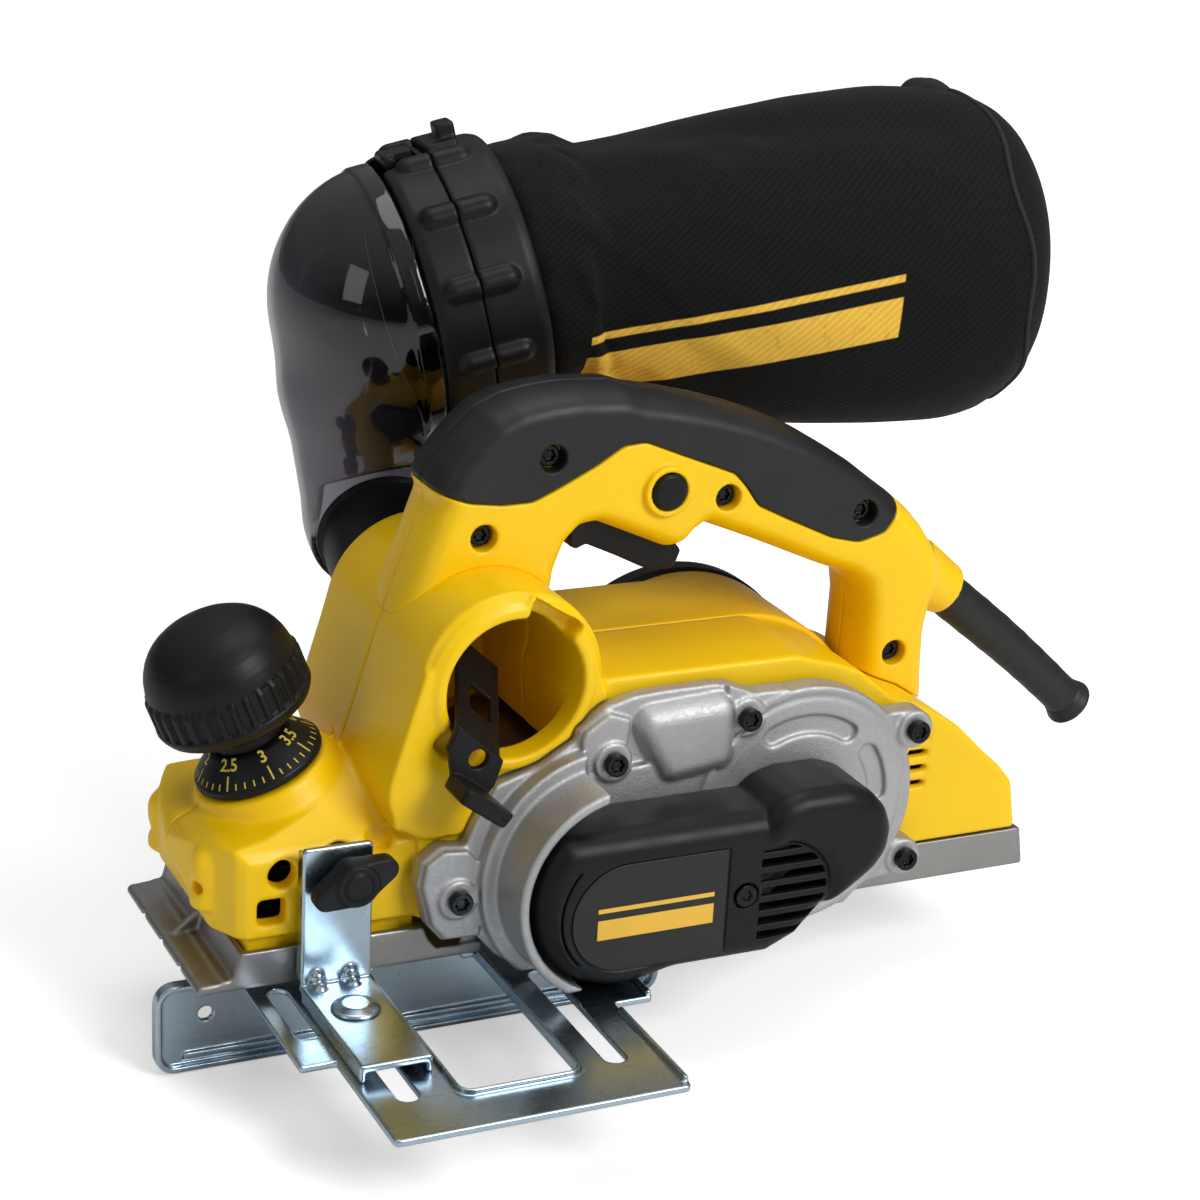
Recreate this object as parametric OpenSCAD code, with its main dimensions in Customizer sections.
// Electric hand planer with a side fence and a dust bag.
// +X runs to the rear of the tool, +Y to the far side (away from the belt
// cover) and +Z up. The modules are drawn from the point on the sole plane under
// the drum axis at mid width; the whole part is then moved so that its origin is
// at the mouth of the threaded fence hole on the far side.

/* [Sole] */
// Front end of the front shoe
shoe_front = -137; // [-139:0.5:-136]
// Rear end of the rear shoe
shoe_rear = 183; // [182:0.5:185]
// Half width of both shoes
shoe_half = 41.5; // [41.5:0.1:42]
// Thickness of the shoe plates
shoe_thick = 4; // [3.5:0.1:4.2]

/* [Cutter drum] */
// Height of the drum axis over the sole
drum_z = 31.5; // [31.5:0.1:31.8]
// Radius of the drum body
drum_r = 29; // [28:0.5:29.5]
// Cutting length of the drum
drum_length = 82; // [80:1:82]
// Radius of the drum pulley
drum_pulley_r = 18; // [17.5:0.5:18]

/* [Motor] */
// Motor axis, distance behind the drum axis
motor_x = 77.9; // [77.5:0.1:78.5]
// Motor axis, height over the sole
motor_z = 43.2; // [43:0.1:43.5]
// Radius of the laminated armature
armature_r = 24; // [20:0.5:24]
// Radius of the motor pulley
motor_pulley_r = 10; // [9.5:0.5:10]

/* [Chip duct] */
// Duct axis, distance behind the drum axis
duct_x = -30.4; // [-30.6:0.1:-30]
// Duct axis, height over the sole
duct_z = 97.6; // [97:0.1:98]
// Inside radius of the duct
duct_r = 24.5; // [24:0.1:25]
// Outside radius of the duct rim
duct_rim_r = 28.6; // [28.2:0.1:29]

/* [Handle] */
// Half width of the handle
handle_half = 18; // [17:0.5:18.5]
// Thickness of the soft overmould
grip_thick = 1.9; // [1.5:0.1:2.2]
// Wall of the handle halves
handle_wall = 4.4; // [4:0.1:5]

/* [Depth knob] */
// Lean of the depth knob axis towards the front, in degrees
knob_lean = 22; // [21:0.5:22.5]
// Radius of the dial
dial_r = 22.4; // [21:0.2:22.6]
// Radius of the ribbed band of the knob
knob_r = 28; // [27:0.5:28]
// Number of finger ribs round the knob
knob_ribs = 36; // [24:1:40]

/* [Fence] */
// Top of the sliding fence plate
fence_z = -4; // [-4.2:0.1:-4]
// Depth of the fence wall under the sole
fence_depth = 36.5; // [34:0.5:38]
// Sheet thickness of fence and bracket
sheet = 2.5; // [2:0.1:2.5]

/* [Dust bag] */
// Outside radius of the collar
collar_r = 52.5; // [51:0.5:53]
// Lean of the collar axis above level, in degrees
collar_lean = 14; // [13:0.5:15]
// Number of grip bumps on the collar
collar_bumps = 12; // [8:1:14]

/* [Hidden] */
$fn = 64;
overcut = 0.01;

// colours
yellow = "gold";
dark = [0.09, 0.09, 0.1];
zinc = "lightsteelblue";
steel = "lightgray";

// axes that run along Y, as [x, z]
drum = [0, drum_z];
motor = [motor_x, motor_z];
duct = [duct_x, duct_z];
fence_hole = [-88.5, 40.5];
lock_axis = [35.8, 151.7];
cover_screw_axis = [43.3, 26.4];
casting_screw_axes = [[3.4, 69.9], [53.5, 80], [121.8, 66.9], [-51.1, 27.4], [121.7, 17.5]];
handle_screw_axes = [[-7.2, 166.2], [60, 146.8], [115.7, 136.4], [-31.3, 140.4], [133, 81.3]];

// half width of the housing at the fence holes
block_half = 41.5;
origin = [fence_hole[0], block_half, fence_hole[1]];
// half the gap between the near and far mouldings
seam = 0.1;
casting_back = -44.1;

drum_bearing_r = 13;
drum_shaft_r = 6;
motor_bearing_r = 11;
motor_far_bearing_r = 9;
motor_shaft_r = 5;
spindle_r = 5;

// ---------- helpers ----------
// moves children to an [x, z] place
module at(place, y = 0) {
  translate([place[0], y, place[1]]) children();
}

// cylinder along Y at an [x, z] place
module rod(place, r, y0, y1) {
  at(place, y0) rotate([-90, 0, 0]) cylinder(r = r, h = y1 - y0);
}

// the same cylinder at each of several places
module rods(places, r, y0, y1) {
  for (place = places) rod(place, r, y0, y1);
}

// two cylinders, one each side of mid width
module rod_pair(place, r, inner, outer) {
  rod(place, r, -outer, -inner);
  rod(place, r, inner, outer);
}

// tube along Y
module ring(place, outer_r, inner_r, y0, y1) {
  difference() {
    rod(place, outer_r, y0, y1);
    rod(place, inner_r, y0 - 1, y1 + 1);
  }
}

// copies turned step by step about a Y axis
module around(place, y, count, step) {
  for (i = [0:count - 1]) at(place, y) rotate([0, i * step, 0]) children();
}

// flat X-Z outline carried along Y
module slab(y0, y1) {
  translate([0, y1, 0]) rotate([90, 0, 0]) linear_extrude(y1 - y0) children();
}

module slab_pair(inner, outer) {
  slab(-outer, -inner) children();
  slab(inner, outer) children();
}

// flat X-Y outline carried along Z
module raise(z0, z1) {
  translate([0, 0, z0]) linear_extrude(z1 - z0) children();
}

// box from two corners
module box(low, high) {
  translate(low) cube(high - low);
}

// the box and its copy on the other side of mid width
module box_pair(low, high) {
  box(low, high);
  box([low[0], -high[1], low[2]], [high[0], -low[1], high[2]]);
}

// upright cylinder at an [x, y] place
module post(place, r, z, h) {
  translate([place[0], place[1], z]) cylinder(r = r, h = h);
}

// frame of the depth knob, its Z along the spindle
module knob_frame() {
  translate([-102.5, 0, 62]) rotate([0, -knob_lean, 0]) children();
}

// cylinder on the depth knob axis
module knob_rod(r, z, h) {
  knob_frame() translate([0, 0, z]) cylinder(r = r, h = h);
}

// near and far halves
module near() {
  intersection() {
    children();
    box([-400, -200, -100], [400, -seam, 400]);
  }
}

module far() {
  intersection() {
    children();
    box([-400, seam, -100], [400, 200, 400]);
  }
}

// ---------- main housing ----------
// corner bosses at the front: distance from mid width and turn, on each side
boss_x = -127.5;
boss_y = 24;
boss_turn = 22;
boss_r = 6.6;
boss_height = 15.5;

module body_side() {
  polygon([[-62, 17.4], [-62, 48], [-50, 60], [-12, 95], [10, 96], [motor_x, 96],
    [104, 87], [118, 75.5], [135, 68.5], [149, 59.5], [161, 48], [168, 42], [174.5, 34.5],
    [178, 15.4], [36, 15.4], [36, 14], [-36, 14]]);
}

// front block, common to its side, top and front outlines
module front_block() {
  intersection() {
    slab(-60, 60) polygon([[-60, 17.4], [-128.5, 17.4], [-134.4, 32.4], [-135.4, 40],
      [-132.2, 45.5], [-126, 48.6], [-112, 50.5], [-94, 55.5], [-74, 66], [-60, 66]]);
    raise(0, 80) polygon([[-60, -block_half], [-120, -block_half], [-123.5, -39],
      [-129, -28], [-133.4, -14], [-135.4, 0], [-133.4, 14], [-129, 28], [-123.5, 39],
      [-120, block_half], [-60, block_half]]);
    translate([-140, 0, 0]) rotate([90, 0, 90]) linear_extrude(85)
      polygon([[-block_half, 0], [-block_half, 44.5], [-38.5, 48.5], [-28, 56], [-20, 61],
        [-12, 64], [12, 64], [20, 61], [28, 56], [38.5, 48.5], [block_half, 44.5],
        [block_half, 0]]);
  }
}

module tower_side() {
  polygon([[-62, 106.9], [-73.3, 68.8], [-72, 52], [-50, 47], [4, 60], [4, 92], [-6, 112]]);
  translate([-57, 64]) circle(17);
}

module body_solid() {
  front_block();
  // dial collar
  knob_frame() translate([0, 0, -22]) cylinder(r1 = 32, r2 = 23.8, h = 21.4);
  // tower and duct barrel
  slab(-46.5, 46.5) tower_side();
  rod(duct, 33, -44, 47);
  rod(duct, 31, -46.5, 50);
  rod(duct, duct_rim_r, -48, 52);
  // ear of the near port's keyway
  slab(-48, -34) translate(duct) polygon([[0, 24], [4.6, 32.6], [25.6, 20], [20, 10]]);
  // middle and rear
  slab(-44, 44) intersection() {
    body_side();
    translate([-70, 0]) square([192, 120]);
  }
  slab(-shoe_half, shoe_half) body_side();
  slab(-38, 38) polygon([[38, 5.2], [38, 30], [160, 30], [176, 14], [176, 5.2]]);
  // motor hump
  intersection() {
    union() {
      rod(motor, 52.6, 0, 50);
      rod(motor, 50.5, -44, 0.5);
    }
    box([0, -60, 5.2], [160, 60, 120]);
  }
  // skirt that dips into the front shoe
  box([-119.5, -37.4, 8.8], [-60, 37.4, 18]);
  // far bearing boss of the drum
  rod(drum, 18, 43, 54);
  // depth pointer
  translate([-77.6, -1.5, 66]) cube([2.4, 3, 9.6]);
  // front corner bosses
  for (s = [-1, 1]) translate([boss_x, s * boss_y, 24]) rotate([0, 0, s * boss_turn]) {
    cylinder(r = boss_r, h = boss_height);
    translate([0, 0, boss_height]) sphere(boss_r);
  }
}

module duct_cuts() {
  rod(duct, duct_r, -60, 60);
  // bayonet notches of the duct rims
  at(duct, 46) rotate([0, -62, 0]) translate([20, -5, -9]) cube([11, 10, 18]);
  slab(-60, -38) translate(duct) polygon([[2.2, 19], [5.2, 30.9], [23.8, 19.7], [16, 11]]);
  at(duct, -46) rotate([0, 132, 0]) translate([18, -5, -10]) cube([14, 10, 20]);
}

module depth_cuts() {
  // depth mechanism room
  difference() {
    box([-117, -35, 5], [-66, 35, 43]);
    knob_rod(11, -32, 18);
  }
  knob_rod(7.5, -60, 80);
  // seat of the depth dial
  knob_rod(22.9, -0.6, 26);
}

module body_hollow() {
  // drum chamber and chute
  rod(drum, 34, -42, 42);
  box([-34, -42, -5], [34, 42, 31]);
  slab(-36, 36) polygon([[-30, 44], [-6, 62], [-8, 95], [-52, 95], [-50, 74]]);
  duct_cuts();
  // motor tunnel
  rod(motor, 42, -42, 50 + overcut);
  // drum shaft and bearing seats
  rod(drum, drum_bearing_r, 42 - overcut, 52);
  rod(drum, 9.5, -45, 60);
  rod(motor, 12, -45, -41);
  depth_cuts();
  // near-side openings
  box([-116.4, -45, 22], [-106.6, -36, 31]);
  rod([-108, 39.3], 5, -45, -36);
  rod([-74.3, 46.4], 4.4, -47, -36);
  // seats of the fence inserts
  rod_pair(fence_hole, 6.5, 30, 43);
  // front boss holes
  for (s = [-1, 1])
    translate([boss_x, s * boss_y, 32]) rotate([0, -90, -s * boss_turn])
      cylinder(r = 2.4, h = 12);
  // rear vent slots, both sides
  for (i = [0:3], s = [-1, 1])
    translate([131, s * 41, 57 - 6 * i]) cube([11, 9, 2.4], center = true);
  // rear hollow
  slab(-37, 37) polygon([[128, 8], [128, 60], [146, 52], [158, 42], [168, 32], [172, 17],
    [172, 8]]);
  // socket of the handle's rear leg
  box([122, -11, 40], [146, 11, 90]);
  // seats for the rear shoe's upstand and side rails
  slab(-60, 60) polygon([[28, -1], [34.3, 9.1], [36.2, 13.9], [40.3, 13.9], [40.3, -1]]);
  box_pair([103.8, 38.2, -1], [190, 60, 15.25]);
  // room for the side casting
  slab(-60, -44) offset(delta = 0.25) casting_keepout();
  // casting screw holes, near side
  rods(casting_screw_axes, 2.6, -47, -36);
}

module body_shell() {
  difference() {
    body_solid();
    body_hollow();
  }
}

module housing_left() {
  color(yellow) near() body_shell();
}

module housing_right() {
  color(yellow) far() body_shell();
}

// ---------- handle ----------
module handle_outline() {
  difference() {
    polygon([[-46.5, 152], [-48.5, 157], [-44.5, 165], [-37.5, 173.5], [-29, 181.5],
      [-20, 185.5], [-9, 187.5], [2, 188.3], [20.5, 187.4], [27.5, 185], [40, 182.7],
      [55.5, 179], [68, 175.3], [80, 171], [93, 165], [105, 158], [114, 152.4],
      [123, 145.7], [131, 140], [138.5, 134], [144.5, 127.5], [150, 119.5], [153.5, 112],
      [153.5, 104], [150.5, 97], [149, 88], [149.5, 75], [151, 52], [118, 60], [120, 76],
      [120.2, 98], [118.5, 107], [113, 111.5], [104, 114.8], [75, 127.4], [54, 135.8],
      [50.5, 133.5], [47.5, 130], [43.5, 128.2], [39.5, 128], [12.5, 139.8], [6.2, 139],
      [1.6, 134.3], [-1.7, 125.6], [-3.4, 112], [-30, 100], [-60.6, 112], [-59, 116.5],
      [-53.8, 131.5]]);
    translate(duct) circle(33.2);
    polygon([[90, 40], [104, 87.3], [118, 75.8], [135, 68.8], [149, 59.8], [152, 57],
      [160, 40]]);
  }
}

// layers of the rounded section: [half width, inset of the outline], for a half width of 18
handle_layers = [[6, 0.15], [9.5, 0.7], [12.3, 1.6], [14.6, 2.9], [16.4, 4.6], [17.5, 6.6],
  [18, 9.2]];
layers_half = 18;

module handle_body(inset) {
  for (layer = handle_layers) {
    y = max(layer[0] * handle_half / layers_half - inset, 0.5);
    slab(-y, y) offset(delta = -(layer[1] + inset)) handle_outline();
  }
}

// region of the handle covered by the overmould
module grip_zone() {
  slab(-30, 30) polygon([[-70, 158], [-56, 164], [-52, 159.6], [-46, 156], [-36.7, 153],
    [-25, 151.4], [-14, 151.6], [-5, 155.5], [9, 162.5], [18.8, 168.6], [27, 169.3],
    [40.6, 163.8], [62, 155.4], [67, 150], [72, 143], [83.7, 137.2], [102.7, 128.4],
    [114.4, 125.6], [124.5, 128.3], [131, 137.5], [140, 150], [140, 220], [-90, 220]]);
}

// near-side pockets of the handle screw heads
module handle_screw_pockets() {
  rods(handle_screw_axes, 4.8, -30, -11);
}

module handle_solid() {
  difference() {
    handle_body(0);
    grip_zone();
  }
  intersection() {
    handle_body(grip_thick + 0.05);
    grip_zone();
  }
  // ring round the lock button, both sides
  rod_pair(lock_axis, 9, 12, 20.4);
  // cable collar
  on_cable(cable_mouth) cylinder(r1 = 12.5, r2 = 10, h = 18.5);
}

// inside room, less the screw posts and the lock button post
module handle_room() {
  difference() {
    handle_body(handle_wall);
    rods(handle_screw_axes, 6.4, -18, 18);
    rod(lock_axis, 9, -20, 20);
  }
}

module handle_shell() {
  difference() {
    handle_solid();
    handle_room();
    handle_screw_pockets();
    rods(handle_screw_axes, 2.1, -12, 12);
    rod(lock_axis, 6.8, -30, 30);
    // trigger pocket
    slab(-9.4, 9.4) polygon([[2.4, 126], [2.8, 143], [4.4, 148.4], [20, 148.4], [49, 142],
      [49, 120]]);
    rod(trigger_pin, 2.06, -12, 12);
    // cable way
    on_cable(cable_mouth) translate([0, 0, -14]) cylinder(r = 7.6, h = 40);
    // switch room
    box([7, -10.6, 149], [45, 10.6, 172]);
  }
}

module handle_left() {
  color(yellow) near() handle_shell();
}

module handle_right() {
  color(yellow) far() handle_shell();
}

module grip_shell() {
  difference() {
    intersection() {
      handle_body(0);
      grip_zone();
    }
    handle_body(grip_thick);
    handle_screw_pockets();
    rod(lock_axis, 9.4, -30, 30);
  }
}

module grip_left() {
  color(dark) near() grip_shell();
}

module grip_right() {
  color(dark) far() grip_shell();
}

// ---------- side casting ----------
casting_disc_r = 44.7;
casting_lug_r = 7;
guard_outer_r = 38.7;
// webs between the lugs and the plate that also need room in the housing
casting_webs = [
  [[46, 92.4], [57, 88], [70, 88], [60, 74], [47, 76]],
  [[-8, 78], [-7, 81], [2, 87], [10, 84], [8, 66], [-6, 66]],
  [[104, 74], [122, 73.9], [128, 68], [124, 60], [112, 58]],
  [[-63.5, 33], [-62.4, 40.6], [-56, 45], [-47.5, 44], [-44, 40], [-42, 12.4],
    [-54.6, 12.6], [-59.6, 18.5]]];
lower_rear_web = [[108, 26], [122, 24.5], [127, 20], [126, 12], [118, 10.6], [104, 9]];

module casting_side() {
  polygon([[-21.6, 70.4], [-9.2, 77.7], [-8.3, 81.2], [1.2, 88.3], [12.1, 91.3], [23, 92],
    [43, 92.2], [55.4, 88], [100, 80], [116, 12], [108, 8.5], [101, 0.6], [-26, 0.6],
    [-29.5, -1.2], [-34.8, 2.3], [-42.5, 11.1], [-55.1, 11.4], [-60.7, 17.9], [-64.8, 33.2],
    [-63.7, 41], [-56.4, 46.4], [-47.5, 45.1], [-44.9, 51.9], [-37.6, 65.3]]);
}

module casting_keepout() {
  casting_side();
  translate(motor) circle(casting_disc_r);
  for (place = casting_screw_axes) translate(place) circle(casting_lug_r);
  for (web = casting_webs) polygon(web);
}

// curved recess with round ends in the motor disc, between two angles
module kidney(start, end) {
  outer_r = 34;
  inner_r = 27;
  difference() {
    ring(motor, outer_r, inner_r, -54, -51.6);
    slab(-56, -50) translate(motor) polygon([[0, 0], 90 * [cos(end), sin(end)], [-90, 90],
      [-90, -90], [90, -90], 90 * [cos(start), sin(start)]]);
  }
  for (a = [start, end])
    rod(motor + (outer_r + inner_r) / 2 * [cos(a), sin(a)], (outer_r - inner_r) / 2,
      -54, -51.6);
}

// guard ring round the drum, open to the rear and below
module drum_guard() {
  difference() {
    union() {
      rod(drum, guard_outer_r, -77, -50);
      rod(drum, 44, -57, -50);
    }
    rod(drum, 35.2, -80, -50.5);
    slab(-80, -49) polygon([[-9, 60], [-5, 90], [80, 90], [80, -40], [-16, -40], [-14, -2],
      [0, 31]]);
    box([-60, -80, -40], [60, -49, -1.6]);
  }
}

module casting_solid() {
  slab(-50.5, casting_back) intersection() {
    union() {
      casting_side();
      translate(motor) circle(casting_disc_r);
    }
    translate([-70, -5]) square([194, 99]);
  }
  rod(motor, casting_disc_r, -53.5, casting_back);
  // flange land round the belt cover
  slab(-53.5, -50) polygon([[-12, 62], [-4, 66], [60, 70], [60, 50], [0, 50]]);
  // lugs with screw bosses
  rods(casting_screw_axes, casting_lug_r, -54.6, casting_back);
  for (web = concat(casting_webs, [lower_rear_web])) slab(-53, casting_back) polygon(web);
  // pocket bulge between the upper bosses
  hull() for (place = [[18, 81], [43, 82.5], [43, 68], [26, 66]])
    at(place, -50) sphere(7, $fn = 32);
  drum_guard();
}

module side_casting() {
  color("silver") difference() {
    casting_solid();
    kidney(57, 115);
    kidney(3, 33);
    // flat back against the housing
    box([-80, casting_back, -20], [140, -30, 115]);
    // bearing seats
    rod(drum, drum_bearing_r, -60, -40);
    rod(motor, motor_bearing_r, -60, -40);
    // screw holes
    rods(casting_screw_axes, 2.6, -60, -40);
    rod(cover_screw_axis, 1.95, -60, -40);
    // rim groove round the motor disc
    ring(motor, 42, 40, -54, -52.9);
  }
}

// ---------- shoes ----------
rear_shoe_top = shoe_thick + 1;
shoe_wall_z = 13.2;
// shoe screws, [x, y]
shoe_screw_places = [[52, -30], [52, 30], [158, -28], [158, 28]];

module rear_shoe() {
  color("silver") difference() {
    union() {
      box([36, -shoe_half, 0], [shoe_rear - 3, shoe_half, rear_shoe_top]);
      // rear end wall
      slab(-shoe_half, shoe_half) polygon([[150, 0], [shoe_rear, 0], [shoe_rear - 2.6, 15],
        [shoe_rear - 5, 15], [shoe_rear - 5, rear_shoe_top], [150, rear_shoe_top]]);
      // side rails
      box_pair([104, 38.4, 0], [shoe_rear - 2.6, shoe_half, 15]);
      // upstand at the front
      slab(-shoe_half, shoe_half)
        polygon([[34.6, 4], [34.6, 9], [36.5, 13.6], [40, 13.6], [40, 4]]);
    }
    for (place = shoe_screw_places) {
      post(place, 2.6, -1, 12);
      post(place, 4.6, -overcut, 2.6);
    }
    // bevel of the front edge
    slab(-60, 60) polygon([[30, -1], [30, 30], [34.5, 30], [34.5, 2], [35.6, -1]]);
  }
}

module shoe_screws() {
  color("silver") for (place = shoe_screw_places) difference() {
    union() {
      post(place, 4.4, 0.3, 2.2);
      post(place, 2.4, 0.3, 4.7);
    }
    // hexagon socket
    translate([place[0], place[1], -0.7]) cylinder(r = 1.8, h = 2.4, $fn = 6);
  }
}

module front_shoe_solid() {
  box([-128, -shoe_half, 0], [-36, shoe_half, shoe_thick]);
  // front lip
  slab(-shoe_half, shoe_half) polygon([[shoe_front, 0], [shoe_front, 2],
    [shoe_front + 1.5, 3.2], [-124.4, 3.6], [-122, shoe_wall_z], [-119.9, shoe_wall_z],
    [-120, 0]]);
  // side walls
  slab_pair(38.6, shoe_half)
    polygon([[-126, 0], [-122, shoe_wall_z], [-58, 12.9], [-56, 8], [-52, 3]]);
  // lip gusset
  slab(-1.6, 1.6) polygon([[-135, 2], [-122, 2], [-121, 12.6], [-122, 12.6]]);
  // spindle boss
  intersection() {
    knob_rod(9, -64, 27);
    box([-130, -20, 1], [-40, 20, 60]);
  }
  // throat edge
  slab(-shoe_half + 1, shoe_half - 1)
    polygon([[-44, 3], [-44, 8], [-39, 8], [-36, 4], [-36, 3]]);
}

module front_shoe() {
  groove_pitch = 20.75;
  groove_side = 3;
  color("silver") difference() {
    front_shoe_solid();
    knob_rod(spindle_r + 0.05, -59.5, 40);
    // chamfer grooves in the sole
    for (i = [-1:1])
      translate([shoe_front - 5, i * groove_pitch, 0])
        rotate([0, 90, 0]) rotate([0, 0, 45])
          translate([-groove_side / 2, -groove_side / 2, 0])
            cube([groove_side, groove_side, 110]);
  }
}

// ---------- belt drive and cover ----------
// Y spans of the cover's stepped face and the inset of each layer
cover_layers = [[-72, -53.6, 0], [-75.2, -71.9, 0.9], [-77.6, -75.1, 2.4],
  [-79.2, -77.5, 4.6], [-80.4, -79.1, 7.4]];
bulge_layers = [[-80.6, -72, 0.6], [-82, -80, 2.2], [-82.8, -81.9, 4.4]];

module cover_side(inset) {
  // front pill, limited by its flat top
  intersection() {
    union() {
      translate(drum) circle(33.5 - inset);
      translate([0, 1.2 + inset]) square([49, 60]);
    }
    translate([-50, -5]) square([105, 60.2 - inset]);
  }
  // rear part, over the motor pulley
  polygon([[40, 54.6 - inset], [40, 1.2 + inset], [54.6, 1.3 + inset],
    [75.2 - inset / 2, 16.7 + inset], [89.8 - inset, 25.1 + inset],
    [97.5 - inset, 31.9 + inset], [99.4 - inset, 43.6], [95 - inset, 52.8 - inset],
    [85.9, 60 - inset], [60.5, 60 - inset], [54, 56.5 - inset]]);
}

module bulge_side(inset) {
  polygon([[50.5 + inset, 44 + inset], [54 + inset, 54 - inset], [60.5, 60 - inset],
    [85.9, 60 - inset], [95 - inset, 52.8 - inset], [99.4 - inset, 43.6],
    [97.5 - inset, 31.9 + inset], [89.8 - inset, 25.1 + inset], [76 - inset, 18 + inset],
    [76 - inset, 30], [68, 42]]);
}

module vent_zone() {
  intersection() {
    translate([56, 25]) circle(18.4);
    translate([48.6, 0]) square([40, 60]);
  }
}

// inside room of the cover, less its screw post
module cover_room() {
  difference() {
    union() {
      slab(-70, -50) cover_side(2.4);
      slab(-76.6, -69) cover_side(5.4);
      slab(-69, -50)
        polygon([[5, 45], [5, 54.1], [49, 54.1], [54, 55.1], [60, 56.6], [60, 45]]);
    }
    rod(cover_screw_axis, 5.6, -80, -69.2);
  }
}

module belt_cover() {
  color(dark) difference() {
    union() {
      for (layer = cover_layers) slab(layer[0], layer[1]) cover_side(layer[2]);
      for (layer = bulge_layers) slab(layer[0], layer[1]) bulge_side(layer[2]);
    }
    cover_room();
    // vent slots
    for (i = [0:6]) slab(-90, -60) intersection() {
      vent_zone();
      translate([46, 9 + i * 5.4]) square([40, 2.9]);
    }
    // label recess
    slab(-81, -79.7) label_side(0);
    // screw hole
    rod(cover_screw_axis, 4.7, -85, -78);
    rod(cover_screw_axis, 2.1, -85, -50);
  }
}

module label_side(inset) {
  difference() {
    union() {
      translate([-2, 25.4]) circle(19.8 - inset);
      translate([-2, 5.6 + inset]) square([38.3 - inset, 39.6 - 2 * inset]);
    }
    translate([36.3 - inset, -10]) square([40, 80]);
  }
}

module cover_label() {
  color("dimgray") slab(-80.2, -79.72) label_side(0.4);
}

module cover_screw() {
  color("black") difference() {
    union() {
      rod(cover_screw_axis, 4, -80.9, -78.1);
      rod(cover_screw_axis, 1.9, -79, -45);
    }
    around(cover_screw_axis, -81, 3, 60) cube([4, 2.4, 1.1], center = true);
  }
}

// screw with a star socket, its head face at head_y and its tip length further in
module star_screw(place, head_r, head_y, length) {
  difference() {
    union() {
      rod(place, head_r, head_y, head_y + 3);
      rod(place, 2, head_y + 2, head_y + length);
    }
    around(place, head_y, 3, 60) cube([head_r * 1.1, 3, head_r * 0.32], center = true);
    rod(place, 0.42 * head_r, head_y - 1, head_y + 1.5);
  }
}

module casting_screws() {
  color("black") for (place = casting_screw_axes) star_screw(place, 4.1, -57.7, 19.5);
}

module handle_screws() {
  color("black") for (place = handle_screw_axes) star_screw(place, 3.9, -14.1, 22);
}

// loop round both pulleys, at a gap from their rims
module belt_outline(gap) {
  hull() {
    translate(drum) circle(drum_pulley_r + gap);
    translate(motor) circle(motor_pulley_r + gap);
  }
}

module drive_belt() {
  color("black") slab(-68, -58.5) difference() {
    belt_outline(1.6);
    belt_outline(0.1);
  }
}

module drum_pulley() {
  hub_r = 10;
  color("silver") difference() {
    union() {
      rod(drum, drum_pulley_r, -69.5, -57);
      rod(drum, hub_r, -71, -55);
    }
    rod(drum, drum_shaft_r, -80, -50);
    ring(drum, 16, hub_r, -71, -66.5);
  }
}

module motor_pulley() {
  color("silver") ring(motor, motor_pulley_r, motor_shaft_r, -69.5, -57);
}

// ---------- cutter drum ----------
drum_half = drum_length / 2;

// children at both blade stations, their Z pointing out of the drum
module blade_frames() {
  for (a = [25, 205]) at(drum) rotate([0, a, 0]) children();
}

module cutter_drum() {
  color("gray") difference() {
    union() {
      rod(drum, drum_r, -drum_half, drum_half);
      rod(drum, 8.5, -43, 43);
      rod(drum, drum_shaft_r, -71, 51);
    }
    blade_frames() {
      // blade slot and the shallow gullet beside it
      box([-4.2, -50, drum_r - 11], [3.6, 50, drum_r + 5]);
      box([3.5, -50, drum_r - 3], [10, 50, drum_r + 5]);
    }
  }
}

module drum_blades() {
  color("lightgray") blade_frames()
    box([-0.9, -drum_half, drum_r - 9], [0.3, drum_half, drum_r + 2.3]);
}

module blade_clamps() {
  foot = drum_r - 10.9;
  color("dimgray") blade_frames() difference() {
    union() {
      box([0.4, -drum_half, foot], [3.5, drum_half, drum_r - 1]);
      box([-4.1, -drum_half, foot], [-1, drum_half, drum_r - 1.6]);
    }
    for (y = [-28, 0, 28])
      translate([-5, y, drum_r - 6]) rotate([0, 90, 0]) cylinder(r = 2.2, h = 3.6);
  }
}

module drum_bearings() {
  color(steel) for (span = [[-53.4, -44.2], [43.2, 51.8]]) difference() {
    ring(drum, drum_bearing_r, drum_shaft_r + 0.05, span[0], span[1]);
    // groove in the near face
    ring(drum, 11, 8.2, span[0] - 1, span[0] + 0.6);
  }
}

// ---------- motor ----------
// Y of the middle of the armature, and of the brushes
armature_y = 7;
brush_y = 41.5;

module motor_stator() {
  color("gray") difference() {
    rod(motor, 42, -18, 32);
    rod(motor, armature_r + 0.8, -20, 34);
    for (x = [-38, 28]) at(motor, armature_y) box([x, -30, -9], [x + 10, 30, 9]);
    // flat underside
    box([20, -30, -10], [140, 50, 5.9]);
  }
}

module field_coils() {
  color("orange") {
    ring(motor, 37, 27, -24, -18.1);
    ring(motor, 37, 27, 32.1, 38);
  }
}

module end_cap_solid() {
  intersection() {
    union() {
      rod(motor, 53.4, 50.1, 59);
      rod(motor, 48, 50.1, 62);
      slab(50.1, 60) polygon([[35, 60], [34, 80], [37, 86.4], [70, 88], [70, 50]]);
    }
    box([0, 40, 5.2], [160, 80, 120]);
  }
  rod(motor, 11, 52, 65);
}

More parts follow.
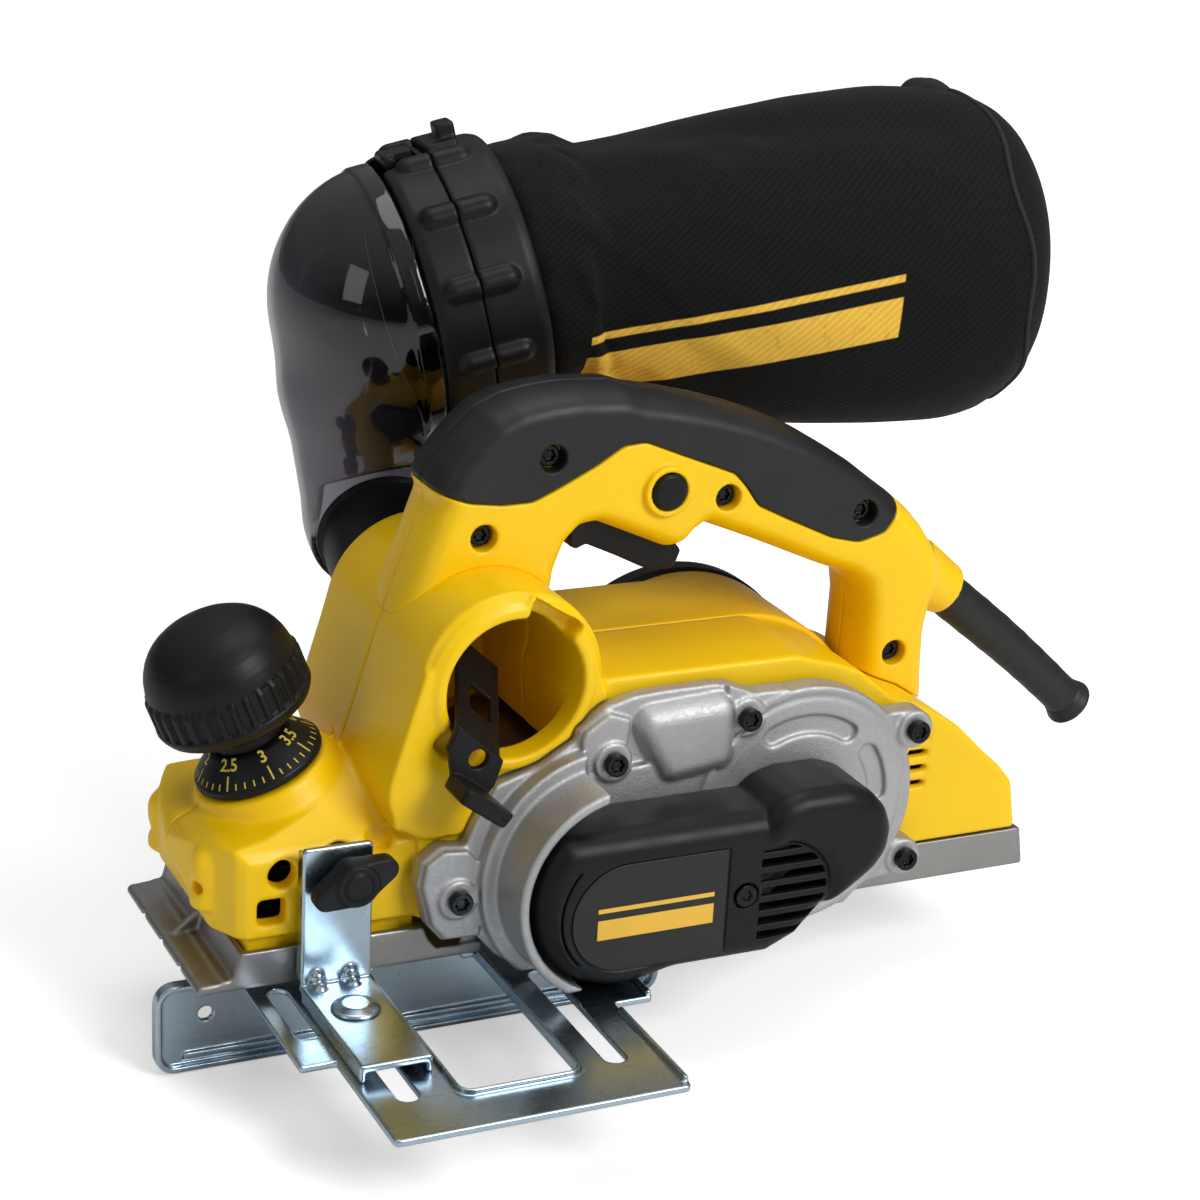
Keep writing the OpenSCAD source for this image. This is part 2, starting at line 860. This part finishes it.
module motor_end_cap() {
  color(dark) difference() {
    end_cap_solid();
    // inside room, less the bearing boss
    difference() {
      intersection() {
        rod(motor, 40, 49, 57);
        box([0, 40, 8], [160, 80, 120]);
      }
      rod(motor, 13, 50.1, 58);
    }
    rod(motor, motor_far_bearing_r, 49, 63);
    // vent slots
    around(motor, 58, 12, 30) box([17, -5, -1.6], [33, 6, 1.6]);
  }
}

module motor_bearings() {
  bore_r = motor_shaft_r + 0.05;
  color(steel) {
    ring(motor, motor_bearing_r, bore_r, -53.4, -44.2);
    ring(motor, motor_far_bearing_r, bore_r, 52, 60);
  }
}

module brush_holders() {
  // Z span of each holder, then of its bore
  spans = [[-36.6, -15.5, -41, -14], [15.5, 40, 14, 36]];
  color("peru") for (span = spans) at(motor, brush_y) difference() {
    box([-5.5, -3.4, span[0]], [5.5, 5.6, span[1]]);
    box([-3.3, -2.2, span[2]], [3.3, 3.4, span[3]]);
  }
}

module carbon_brushes() {
  color("black") for (span = [[-28, -13.3], [13.3, 28]])
    at(motor, brush_y) box([-3.2, -2.1, span[0]], [3.2, 3.3, span[1]]);
}

module armature_shaft() {
  color(steel) {
    rod(motor, motor_shaft_r, -71, 61.6);
    rod(motor, 7, -42.6, -40);
  }
}

module armature_core() {
  color("gray") difference() {
    rod(motor, armature_r, -13, 27);
    rod(motor, motor_shaft_r, -20, 30);
    around(motor, armature_y, 12, 30)
      box([armature_r - 7, -22, -1.2], [armature_r + 1, 22, 1.2]);
  }
}

module commutator() {
  color("peru") difference() {
    rod(motor, 13, 33, 48);
    rod(motor, motor_shaft_r, 30, 50);
    around(motor, 40, 12, 15) cube([27, 20, 0.5], center = true);
    rod(motor, 9, 47, 50);
  }
  // dark core seen between the bars
  color("black") ring(motor, 11.8, motor_shaft_r, 33.4, 46.6);
}

module cooling_fan() {
  blades = 14;
  color("white") difference() {
    union() {
      rod(motor, 36, -38, -36.4);
      rod(motor, 9, -38, -26);
      around(motor, 0, blades, 360 / blades) box([8, -37, -0.8], [35, -27, 0.8]);
    }
    rod(motor, motor_shaft_r, -50, -20);
  }
}

// ---------- controls ----------
trigger_pin = [9, 143.6];

module trigger() {
  color(dark) {
    rod(trigger_pin, 2, -11.6, 11.6);
    slab(-9, 9) polygon([[4.4, 131.4], [4.6, 143], [7, 147], [11.4, 147], [16, 142],
      [20, 140.5], [44, 130.5], [47.6, 126], [45.6, 121], [43, 119.4], [33.2, 120.8],
      [22, 126.4], [10.7, 131.6], [7, 130]]);
  }
}

module lock_button() {
  color(dark) {
    rod(lock_axis, 6.6, -20.8, -11.4);
    rod(lock_axis, 6, -21.3, -20.7);
    rod(lock_axis, 5.6, -21.6, -21.2);
  }
}

// spring, as a row of separate rings
module lock_spring() {
  color(steel) for (i = [0:5]) let(y = -7.6 + i * 2.6) ring(lock_axis, 4.6, 3.6, y, y + 1);
}

module switch_module() {
  color("black") {
    difference() {
      box([9, -9.8, 149.5], [28, 9.8, 170]);
      rod([15, 160], 2, -12, 12);
    }
    box([28.2, -9.8, 160], [44.8, 9.8, 170]);
  }
}

module chip_diverter() {
  color(dark) {
    // slanting plate that crosses the duct, with its window
    translate([-45.9, -52, 84.25]) rotate([30.2, 41.9, 0]) difference() {
      translate([-10.4, -2.4, -1]) cube([21, 44, 2]);
      translate([-4, 11, -2]) cube([10, 12, 4]);
    }
    // face plate with its eye, outside the port
    difference() {
      slab(-56.2, -53) polygon([[-54, 91.4], [-37.6, 76.8], [-40.6, 68], [-44.6, 64.4],
        [-55.8, 72.4], [-57.6, 83.4]]);
      rod([-46.8, 78.6], 3.4, -60, -50);
    }
    // thumb tongue
    translate([-50.3, -54.4, 69.4]) rotate([0, 35.7, 0])
      translate([0, 0, -1.7]) linear_extrude(3.3)
        polygon([[-7.6, 0], [7.6, 0], [12.4, -15], [10.8, -17], [5.6, -16]]);
  }
}

// ---------- depth setting ----------
// The outlines below are turned about the spindle; their points are [radius, height].
module depth_knob() {
  color(dark) knob_frame() difference() {
    rotate_extrude($fn = 96) polygon([[5.1, 11.5], [12.5, 11.5], [12.8, 15], [14, 17.6],
      [19, 19.4], [24, 20.8], [26.6, 22.6], [27.2, 24.4], [knob_r - 0.5, 25.4],
      [knob_r, 26.4], [knob_r, 36.4], [knob_r - 0.6, 37.4], [26.6, 40.5], [25, 45],
      [22.3, 49.4], [18.6, 53.2], [14, 56], [9.5, 57.6], [5, 58.4], [0, 58.7], [0, 20],
      [5.1, 20]]);
    // grooves between the finger ribs
    for (i = [0:knob_ribs - 1]) rotate([0, 0, i * 360 / knob_ribs])
      translate([knob_r + 0.5, 0, 26.8]) cylinder(r = 1.2, h = 9.2, $fn = 16);
  }
}

module depth_dial() {
  color(dark) knob_frame() rotate_extrude($fn = 96)
    polygon([[5.1, 0.6], [19, 0.6], [dial_r - 0.4, 0.4], [dial_r, 1], [dial_r, 2.6],
      [dial_r - 0.5, 3.2], [14.2, 11.2], [5.1, 11.2]]);
}

module depth_spindle() {
  color(steel) knob_rod(spindle_r, -55, 74.5);
}

module spindle_bush() {
  color("goldenrod") difference() {
    knob_rod(7.5, -32, 31.2);
    knob_rod(spindle_r + 0.06, -34, 40);
  }
}

// ---------- cable ----------
// The cable leaves the handle at one slope and bends once to a steeper one.
cable_mouth = [148, 0, 107];
cable_bend = [191, 0, 79.03];
cable_r = 4;

// Z along the cable, down to the rear; lean is the slope below level
module on_cable(place, lean = 33) {
  translate(place) rotate([0, 90 + lean, 0]) children();
}

module on_tail() {
  on_cable(cable_bend, 38.5) children();
}

module cable_path(r) {
  on_cable([139, 0, 112.8]) cylinder(r = r, h = 62);
  translate(cable_bend) sphere(r + 0.3, $fn = 48);
  on_tail() cylinder(r = r, h = 48);
}

module cable_guard() {
  color(dark) difference() {
    union() {
      on_cable([155.6, 0, 102.02]) cylinder(r1 = 7.4, r2 = 7.7, h = 42.2);
      translate(cable_bend) sphere(8.2, $fn = 48);
      on_tail() {
        cylinder(r1 = 7.7, r2 = 7.9, h = 34);
        translate([0, 0, 34]) cylinder(r1 = 7.9, r2 = 9.6, h = 6);
        translate([0, 0, 40]) cylinder(r = 9.8, h = 5.6);
      }
    }
    cable_path(cable_r + 0.12);
  }
}

module power_cable() {
  color("black") intersection() {
    cable_path(cable_r);
    box([130, -20, 20], [224.6, 20, 130]);
  }
}

module cable_clamp() {
  color("black") difference() {
    box([131, -12.5, 102], [138, 12.5, 112]);
    cable_path(cable_r + 0.2);
    rod([134.5, 107], 1.8, -20, 20);
  }
}

// ---------- fence ----------
// front and rear edges of the bracket, and its near face
bracket_front = -104;
bracket_rear = -79.6;
bracket_y = -49;
// bolt between bracket and plate, [x, y]
fence_bolt = [-92.2, -69];

module fence_bracket() {
  color(zinc) difference() {
    union() {
      // upright plate
      slab(bracket_y, bracket_y + sheet) polygon([[bracket_front, 1], [bracket_front, 50],
        [-103, 51], [-80.6, 51], [bracket_rear, 50], [bracket_rear, 1]]);
      for (x = [bracket_front, bracket_rear - 1.6])
        box([x, bracket_y, 3.4], [x + 1.6, -43.6, 49.5]);
      // level arm with its side flanges
      box([bracket_front, -105.4, 2 - sheet], [bracket_rear, -46.5, 2]);
      for (x = [bracket_front, bracket_rear - 2])
        box([x, -105.4, fence_z + 0.1], [x + 2, bracket_y, 2]);
      // bend dimples
      for (x = [-98.5, -87]) translate([x, -49.2, 2.4]) {
        sphere(3, $fn = 32);
        translate([0, -3.4, -0.8]) sphere(2.4, $fn = 32);
        translate([0, 0, 2.6]) sphere(2.4, $fn = 32);
      }
    }
    rod(fence_hole, 4.2, -60, -40);
    post(fence_bolt, 3.6, -10, 20);
    box([-101, -46.4, -5], [-82, -43, 3.3]);
  }
}

module carriage_bolt() {
  color(zinc) translate(fence_bolt) {
    translate([0, 0, 2.05]) cylinder(r1 = 8.6, r2 = 7.6, h = 1.3);
    translate([0, 0, 3.3]) cylinder(r1 = 7.6, r2 = 4.6, h = 1.1);
    translate([0, 0, -18]) cylinder(r = 3.4, h = 21);
  }
}

module fence_nut() {
  color(zinc) translate([fence_bolt[0], fence_bolt[1], -16]) difference() {
    union() {
      cylinder(r = 7.4, h = 9.2, $fn = 6);
      // wings
      for (x = [-16, 5]) translate([x, -1.6, 0]) cube([11, 3.2, 8]);
    }
    translate([0, 0, -1]) cylinder(r = 3.4, h = 12);
  }
}

module bracket_knob() {
  stud_r = 3;
  color(dark) {
    difference() {
      union() {
        rod(fence_hole, 7.2, -60, -50.6);
        // two lobes
        for (a = [21, 201]) hull() {
          at(fence_hole, -59) rotate([-90, 0, 0]) cylinder(r = 7.4, h = 7.4, $fn = 48);
          at(fence_hole + 11.2 * [cos(a), sin(a)], -58.6)
            rotate([-90, 0, 0]) cylinder(r = 3.9, h = 6, $fn = 32);
        }
      }
      rod(fence_hole, 5.6, -61, -59.4);
      rod(fence_hole, stud_r, -58, -50);
    }
    rod(fence_hole, 4.8, -60.6, -58.6);
  }
  // stud and washer
  color(steel) {
    rod(fence_hole, stud_r, -58, -34);
    rod(fence_hole, 5.5, -50.5, -49.2);
  }
}

module fence_insert() {
  color("goldenrod") difference() {
    rod_pair(fence_hole, 6.5, 31, block_half);
    rod(fence_hole, 3.05, -50, 50);
  }
}

// big opening of the plate, round at its two near corners
module opening(corner_r) {
  width = 32;
  translate([-72, -118]) {
    translate([-corner_r, 0]) square([width + 2 * corner_r, 85]);
    translate([0, -corner_r]) square([width, 92]);
    for (x = [0, width]) translate([x, 0]) circle(corner_r);
  }
}

// slot along Y with round ends
module slot(x, y0, y1) {
  half = 3.7;
  translate([x - half, y0]) square([2 * half, y1 - y0]);
  for (y = [y0, y1]) translate([x, y]) circle(half);
}

module plate_outline() {
  difference() {
    union() {
      translate([-106, -139]) square([100.5, 119]);
      translate([-104.5, -141]) square([97.5, 3]);
      for (x = [-104, -7.5]) translate([x, -139]) circle(2);
      translate([-118, -89]) square([14, 69]);
      translate([-7, -83]) square([15.6, 63]);
    }
    opening(4);
    slot(-21.2, -116, -56);
    slot(-92.5, -116, -40);
    slot(-108.8, -69, -40);
  }
}

// the wall's rounded rectangle: corner centres along X, height and corner radius
wall_y = -20;
wall_front = -139;
wall_length = 173;
wall_height = fence_depth - 4;
wall_bottom = fence_z - wall_height;
wall_corner = 7;

module wall_outline(inset) {
  translate([wall_front - wall_corner + inset, wall_bottom + wall_corner])
    square([wall_length + 2 * (wall_corner - inset), wall_height - 2 * wall_corner]);
  translate([wall_front, wall_bottom + inset])
    square([wall_length, wall_height - 2 * inset]);
  for (x = [wall_front, wall_front + wall_length])
    for (z = [wall_bottom + wall_corner, fence_z - wall_corner])
      translate([x, z]) circle(wall_corner - inset);
}

module fence_plate() {
  color(zinc) difference() {
    union() {
      raise(fence_z - sheet, fence_z) plate_outline();
      // rolled lip round the big opening
      raise(fence_z - 1, fence_z + 2) difference() {
        opening(5.4);
        opening(4);
        translate([-80, -36]) square([50, 36]);
      }
      // upturned edges
      box([-7.4, -138, fence_z - 1], [-5.5, -89, fence_z + 1.8]);
      box([6.8, -82, fence_z - 1], [8.6, -30, fence_z + 1.6]);
      // fence wall with its rim
      slab(wall_y - sheet, wall_y) wall_outline(0);
      slab(-25.2, wall_y) difference() {
        wall_outline(0);
        wall_outline(2.2);
        translate([-114, -20]) square([120, 30]);
      }
      // stiffening rib
      slab(-24, -22) translate([-136, wall_bottom + 4]) square([168, 2.4]);
    }
    rods([[-128, -17], [24, -17]], 2.6, -40, 0);
  }
}

// ---------- dust collection ----------
sleeve_r = 23.8;
sleeve_bore_r = 21.2;
elbow_low = [-25, 97, 113];
elbow_high = [-37, 95.5, 165];
collar_bore_r = 48.6;
bump_r = 4.6;
// distance of the grip bumps and of the latch from the collar axis
bump_at = collar_r - 1.4;
// front end of the rear collar
rear_collar_z = -1.9;

// frame of the dust collar, its Z along the bag
module collar_frame() {
  translate([2, 95, 198]) rotate([0, 0, -7]) rotate([0, 90 - collar_lean, 0]) children();
}

// within the collar frame, X turned to the top of the collar
module collar_top() {
  rotate([0, 0, 180]) children();
}

// the sleeve leaves the duct along Y and then leans up
module sleeve_frame() {
  at(duct, 55.4) rotate([-90 + 18.5, 0, -8]) children();
}

module sleeve_rod(r, z, h) {
  sleeve_frame() translate([0, 0, z]) cylinder(r = r, h = h);
}

module dust_sleeve() {
  color(dark) difference() {
    union() {
      rod(duct, duct_r - 0.06, 40, 57);
      rod(duct, 26.5, 52.3, 54.6);
      sleeve_rod(sleeve_r, -3, 39.6);
      sleeve_rod(25.2, 33.2, 2);
    }
    rod(duct, sleeve_bore_r, 39, 57.6);
    sleeve_rod(sleeve_bore_r, -4, 60);
  }
}

// thin disc of the dome in front of the collar, at an angle from the rim
module dome_disc(angle, inset) {
  collar_frame() translate([0, 0, -22 - (49 - inset) * sin(angle)])
    cylinder(r = (51 - inset) * cos(angle), h = 0.4, $fn = 48);
}

module elbow_top_ball(inset) {
  translate(elbow_high) sphere(28.5 - inset, $fn = 40);
}

module elbow_form(inset) {
  hull() {
    sleeve_frame() translate([0, 0, 33.8 - inset])
      cylinder(r = 27.4 - inset, h = 8, $fn = 40);
    translate(elbow_low) sphere(27 - inset, $fn = 40);
    elbow_top_ball(inset);
  }
  hull() {
    elbow_top_ball(inset);
    collar_frame() translate([0, 0, -23.5])
      cylinder(r = 51 - inset, h = 3.2 + inset, $fn = 48);
    for (angle = [14, 28, 42, 56, 70, 83]) dome_disc(angle, inset);
  }
}

module dust_elbow() {
  color([0.35, 0.33, 0.36, 0.6]) difference() {
    elbow_form(0);
    elbow_form(2.4);
    // seat of the sleeve
    sleeve_rod(25.26, 8, 27.6);
    sleeve_rod(sleeve_r + 0.06, 8, 31);
    collar_frame() translate([0, 0, -24]) cylinder(r = 48.4, h = 10);
  }
}

// ring of grip bumps from z, each with a ball at ball_z above z
module grip_bumps(z, h, ball_z) {
  for (i = [0:collar_bumps - 1])
    rotate([0, 0, 15 + i * 360 / collar_bumps]) translate([bump_at, 0, z]) {
      cylinder(r = bump_r, h = h);
      translate([0, 0, ball_z]) sphere(bump_r, $fn = 32);
    }
}

module collar_front() {
  color(dark) difference() {
    collar_frame() difference() {
      union() {
        translate([0, 0, -19.6]) cylinder(r1 = collar_r - 0.9, r2 = collar_r, h = 3.4);
        translate([0, 0, -16.2]) cylinder(r = collar_r, h = 14.1);
        intersection() {
          grip_bumps(-11, 21, 0);
          translate([0, 0, -40]) cylinder(r = 80, h = 37.9);
        }
      }
      translate([0, 0, -30]) cylinder(r = collar_bore_r, h = 40);
      // gap for the latch
      collar_top() translate([collar_r - 6, -11, -19]) cube([20, 22, 13.8]);
    }
    // room for the tube of the elbow
    translate(elbow_low) rotate([0, 13.1, 187.1]) cylinder(r = 29.2, h = 53);
  }
}

module collar_rear() {
  color(dark) collar_frame() difference() {
    union() {
      translate([0, 0, rear_collar_z]) cylinder(r = collar_r, h = 19);
      translate([0, 0, 17.1]) cylinder(r1 = collar_r, r2 = collar_r - 1.2, h = 3.4);
      grip_bumps(rear_collar_z, 10.4, 10.4);
      // block and catch at the top
      collar_top() {
        translate([bump_at, -9.5, rear_collar_z]) cube([4, 19, 12]);
        translate([collar_r + 1, -4.6, 4]) cube([7, 9.2, 7]);
      }
    }
    translate([0, 0, -30]) cylinder(r = collar_bore_r, h = 70);
  }
}

module collar_latch() {
  color(dark) collar_frame() collar_top() {
    translate([collar_r - 5.2, -3.2, -15.4]) cube([6.4, 6.4, 9]);
    translate([bump_at, -4, -17.6]) cube([3.4, 8, 11.3]);
    // cross pin
    translate([collar_r - 0.6, 0, -15.4]) rotate([90, 0, 0])
      translate([0, 0, -8]) cylinder(r = 2.2, h = 16);
  }
}

module dust_bag() {
  // [radius, length] of the steps that round off the rear end
  end_steps = [[60, 26], [53, 37], [38, 44]];
  color([0.06, 0.06, 0.07]) hull() {
    collar_frame() translate([0, 0, 21]) cylinder(r = 47, h = 2, $fn = 40);
    translate([60, 87, 203]) rotate([0, 90, -7]) cylinder(r = 52, h = 2, $fn = 40);
    for (step = end_steps)
      translate([180, 73, 208]) rotate([0, 85, -7])
        cylinder(r = step[0], h = step[1], $fn = 40);
  }
}

translate(-origin) {
  housing_left();
  housing_right();
  handle_left();
  handle_right();
  grip_left();
  grip_right();
  side_casting();
  rear_shoe();
  shoe_screws();
  front_shoe();
  belt_cover();
  cover_label();
  cover_screw();
  casting_screws();
  handle_screws();
  motor_stator();
  field_coils();
  motor_end_cap();
  motor_bearings();
  drum_bearings();
  brush_holders();
  carbon_brushes();
  switch_module();
  lock_spring();
  power_cable();
  cable_guard();
  cable_clamp();
  drive_belt();
  spindle_bush();
  fence_insert();
  armature_shaft();
  armature_core();
  commutator();
  cooling_fan();
  motor_pulley();
  cutter_drum();
  drum_blades();
  blade_clamps();
  drum_pulley();
  trigger();
  lock_button();
  chip_diverter();
  depth_knob();
  depth_dial();
  depth_spindle();
  fence_bracket();
  bracket_knob();
  carriage_bolt();
  fence_nut();
  fence_plate();
  dust_sleeve();
  dust_elbow();
  collar_front();
  collar_rear();
  collar_latch();
  dust_bag();
}
